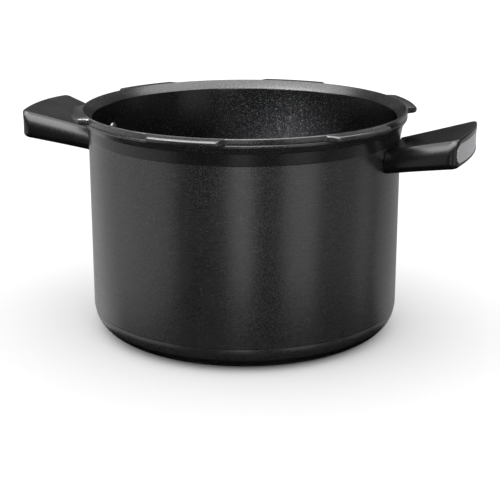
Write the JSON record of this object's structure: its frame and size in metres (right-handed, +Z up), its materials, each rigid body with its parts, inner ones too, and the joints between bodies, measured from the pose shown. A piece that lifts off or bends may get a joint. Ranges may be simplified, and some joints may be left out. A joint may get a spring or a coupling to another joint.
{
  "type": "pressure cooker pot",
  "caption": "Deep round cooking pot with bayonet lugs around its rim for a locking lid, and a fixed moulded grip on each side.",
  "frame": {"origin": "centre of the base, on the surface that the pot stands on", "axes": "+Z up along the pot's axis, +X along the line through the two grips"},
  "size_m": [0.3408, 0.2554, 0.167],
  "materials": {
    "coated_aluminium": "charcoal satin coating with a fine sparkle over turned aluminium",
    "ferritic_steel": "turned",
    "bracket_steel": "zinc plated",
    "rivet_aluminium": "bare, smooth",
    "black_bakelite": "satin moulded",
    "cap_stainless": "fine brushed",
    "screw_steel": "zinc plated",
    "spring_steel": "dark, oiled"
  },
  "bodies": {
    "root": {"pot_body": "coated_aluminium", "induction_plate": "ferritic_steel", "right_bracket": "bracket_steel", "left_bracket": "bracket_steel", "right_rivet_front": "rivet_aluminium", "right_rivet_rear": "rivet_aluminium", "left_rivet_front": "rivet_aluminium", "left_rivet_rear": "rivet_aluminium", "right_grip": "black_bakelite", "left_grip": "black_bakelite", "right_end_cap": "cap_stainless", "left_end_cap": "cap_stainless", "right_grip_screw": "screw_steel", "left_grip_screw": "screw_steel", "right_spring_washer": "spring_steel", "left_spring_washer": "spring_steel", "right_grip_nut": "screw_steel", "left_grip_nut": "screw_steel"}
  },
  "joints": []
}
